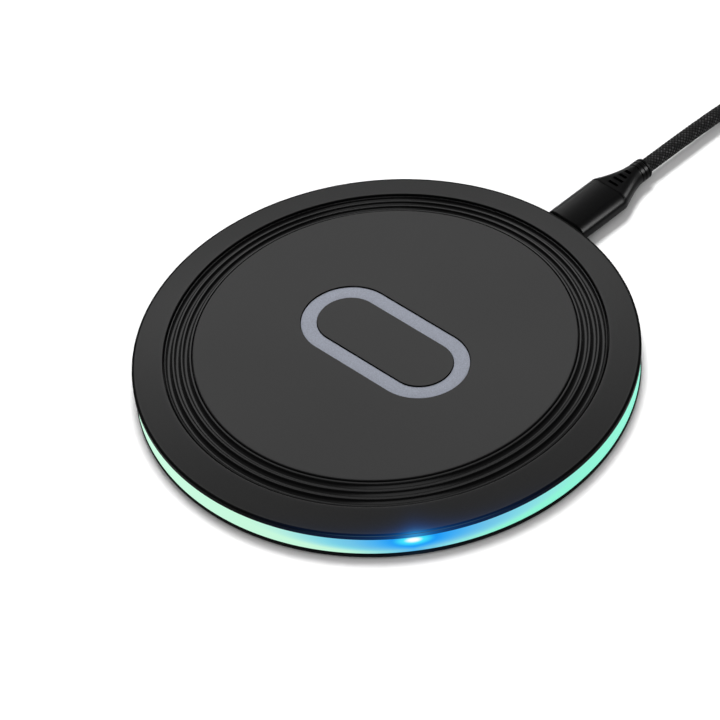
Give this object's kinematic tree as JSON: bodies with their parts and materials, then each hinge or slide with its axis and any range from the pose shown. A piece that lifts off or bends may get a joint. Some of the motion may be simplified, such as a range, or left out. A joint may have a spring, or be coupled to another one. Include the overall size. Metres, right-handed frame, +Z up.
{
  "type": "wireless charging pad",
  "caption": "Round low wireless charging pad with a ribbed ring, an oval grip and a light band round its side, with a braided USB cable plugged into its edge.",
  "frame": {"origin": "centre of the pad, at the bottom of its foot ring, on the table", "axes": "+Z up through the pad, +Y out of the USB port and along the plug, +X across"},
  "size_m": [0.1082, 0.2074, 0.0095],
  "materials": {
    "cover": "fine matte",
    "ribbed_rubber": "satin",
    "oval_rubber": "matte silicone",
    "light_guide": "frosted, lit",
    "case": "matte",
    "foot": "matte silicone",
    "steel": "plated",
    "board": "solder mask",
    "black_plastic": "moulded",
    "gold": "gold plated",
    "ceramic_part": "fired",
    "ferrite": "sintered",
    "led": "clear, lit",
    "foam": "closed cell foam",
    "copper": "enamelled litz wire",
    "tape": "adhesive film",
    "grip_plastic": "satin moulded",
    "braid": "braided nylon",
    "strap": "hook-and-loop tape"
  },
  "bodies": {
    "pad": {"top_cover": "cover", "ribbed_ring": "ribbed_rubber", "oval_grip": "oval_rubber", "light_ring": "light_guide", "bottom_case": "case", "foot_ring": "foot", "case_screws": "steel", "circuit_board": "board", "port_shell": "steel", "port_tongue": "black_plastic", "port_contacts": "gold", "controller_chip": "black_plastic", "bridge_transistors": "black_plastic", "resonant_capacitors": "ceramic_part", "supply_inductor": "ferrite", "crystal": "steel", "status_leds": "led", "temperature_sensor": "ceramic_part", "foam_spacer": "foam", "ferrite_plate": "ferrite", "transmit_coil": "copper", "coil_leads": "copper", "coil_tape": "tape"},
    "cable": {"plug_shell": "steel", "plug_insert": "black_plastic", "plug_grip": "grip_plastic", "plug_boot": "grip_plastic", "cable_lead": "braid", "cable_coil": "braid", "coil_straps": "strap", "cable_tail": "braid", "usb_a_boot": "grip_plastic", "usb_a_grip": "grip_plastic", "usb_a_shell": "steel", "usb_a_tongue": "black_plastic", "usb_a_contacts": "gold"}
  },
  "joints": [
    {"name": "plug_slide", "type": "slide", "parent": "pad", "child": "cable", "axis": [0, 1, 0], "range_m": [0, 0.012]}
  ]
}
